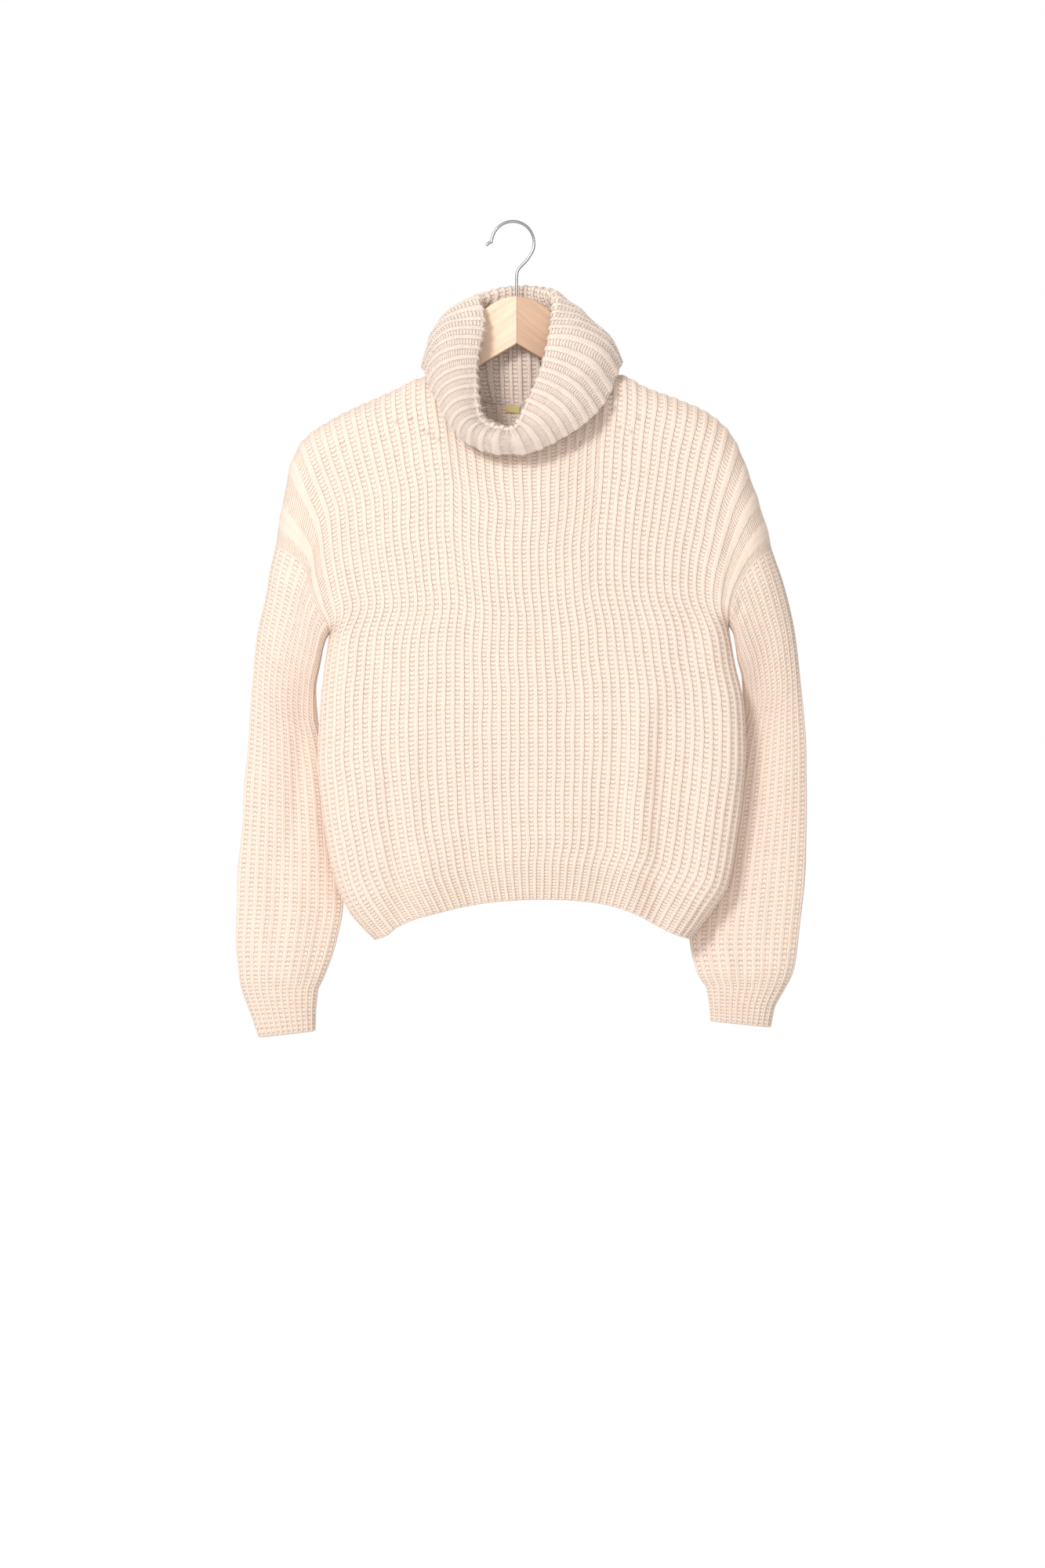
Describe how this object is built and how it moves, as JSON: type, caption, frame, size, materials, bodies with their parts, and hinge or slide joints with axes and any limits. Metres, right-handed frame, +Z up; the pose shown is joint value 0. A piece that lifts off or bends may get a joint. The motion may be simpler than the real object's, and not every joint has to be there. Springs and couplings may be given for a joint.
{
  "type": "roll-neck sweater on a wooden hanger",
  "caption": "Chunky fisherman's-rib roll-neck sweater, drop shoulders, ribbed hem and cuffs, hanging on a contoured wooden hanger with a wire hook.",
  "frame": {"origin": "inner top of the hook, where it bears on a rail", "axes": "+X to the right of someone facing the garment, -Y the garment's front, +Z up"},
  "size_m": [0.5985, 0.1027, 0.8541],
  "materials": {
    "cream_knit": "chunky fisherman's rib, soft nap",
    "cream_rib": "tight rib",
    "cream_collar": "chunky rib, brushed nap",
    "label_woven": "woven, bare",
    "beech_light": "satin lacquer",
    "beech_dark": "satin lacquer",
    "chrome_wire": "polished"
  },
  "bodies": {
    "root": {"front_panel": "cream_knit", "back_panel": "cream_knit", "sleeve_left": "cream_knit", "sleeve_right": "cream_knit", "hem_rib_front": "cream_rib", "hem_rib_back": "cream_rib", "cuff_left": "cream_rib", "cuff_right": "cream_rib", "roll_collar": "cream_collar", "neck_label": "label_woven", "hanger_arm_left": "beech_light", "hanger_arm_right": "beech_dark", "hanger_hook": "chrome_wire"}
  },
  "joints": []
}
